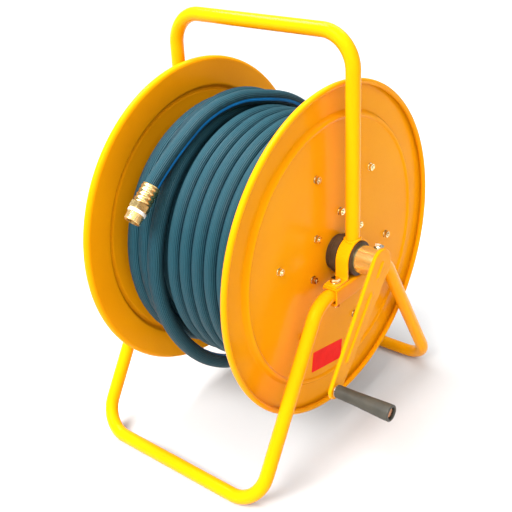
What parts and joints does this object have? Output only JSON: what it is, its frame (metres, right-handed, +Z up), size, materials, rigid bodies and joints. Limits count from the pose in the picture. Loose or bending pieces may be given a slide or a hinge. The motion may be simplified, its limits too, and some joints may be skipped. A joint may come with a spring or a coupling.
{
  "type": "garden hose reel stand",
  "caption": "Hand-cranked garden hose reel with dished steel flanges on a bent-tube carrying stand, holding a wound rubber hose.",
  "frame": {"origin": "on the floor, under the middle of the part's box without its hose", "axes": "+Z up, +X along the axle towards the crank, -Y towards the front foot bar"},
  "size_m": [0.5499, 0.5279, 0.673],
  "materials": {
    "frame_paint": "gloss",
    "reel_paint": "gloss",
    "yellow_zinc": "satin yellow zinc plating",
    "plain_steel": "satin",
    "bush_plastic": "satin",
    "grip_plastic": "matte",
    "hose_rubber": "matte",
    "seal_rubber": "matte",
    "brass": "machined",
    "white_ring": "satin",
    "label_red": "gloss sticker"
  },
  "bodies": {
    "stand": {"top_handle": "frame_paint", "front_leg_frame": "frame_paint", "rear_leg_frame": "frame_paint", "channel_right": "frame_paint", "channel_left": "frame_paint", "strap_right": "frame_paint", "strap_left": "frame_paint", "strap_bolts": "yellow_zinc", "strap_washers": "yellow_zinc", "strap_nuts": "yellow_zinc", "bush_right": "bush_plastic", "bush_left": "bush_plastic"},
    "reel": {"spacer_right": "plain_steel", "spacer_left": "plain_steel", "flange_right": "reel_paint", "flange_left": "reel_paint", "drum_shell": "reel_paint", "hub_plate_right": "plain_steel", "hub_plate_left": "plain_steel", "drum_bolts": "yellow_zinc", "drum_nuts": "yellow_zinc", "hub_bolts": "yellow_zinc", "hub_nuts": "yellow_zinc", "axle_tube": "yellow_zinc", "axle_baffle": "plain_steel", "inlet_stub": "brass", "outlet_riser": "plain_steel", "outlet_clamp": "plain_steel", "crank_hub": "yellow_zinc", "crank_arm": "frame_paint", "crank_set_bolt": "yellow_zinc", "crank_set_washer": "yellow_zinc", "grip_bolt": "yellow_zinc", "grip_washer": "yellow_zinc", "grip_nut": "yellow_zinc", "label": "label_red", "hose_start": "hose_rubber", "hose_coil": "hose_rubber", "hose_loop": "hose_rubber", "hose_ferrule": "brass", "hose_end_fitting": "brass", "hose_seal_ring": "white_ring"},
    "grip": {"grip": "grip_plastic"},
    "inlet_elbow": {"swivel_elbow": "brass", "swivel_circlip": "plain_steel", "swivel_o_rings": "seal_rubber"}
  },
  "joints": [
    {"name": "reel_spin", "type": "hinge", "parent": "stand", "child": "reel", "pos_m": [-0.04095, 0, 0.326], "axis": [1, 0, 0], "continuous": true},
    {"name": "grip_spin", "type": "hinge", "parent": "reel", "child": "grip", "pos_m": [0.22885, -0.11965, 0.1695], "axis": [1, 0, 0], "continuous": true},
    {"name": "inlet_swivel", "type": "hinge", "parent": "reel", "child": "inlet_elbow", "pos_m": [-0.25695, 0, 0.326], "axis": [1, 0, 0], "continuous": true}
  ]
}
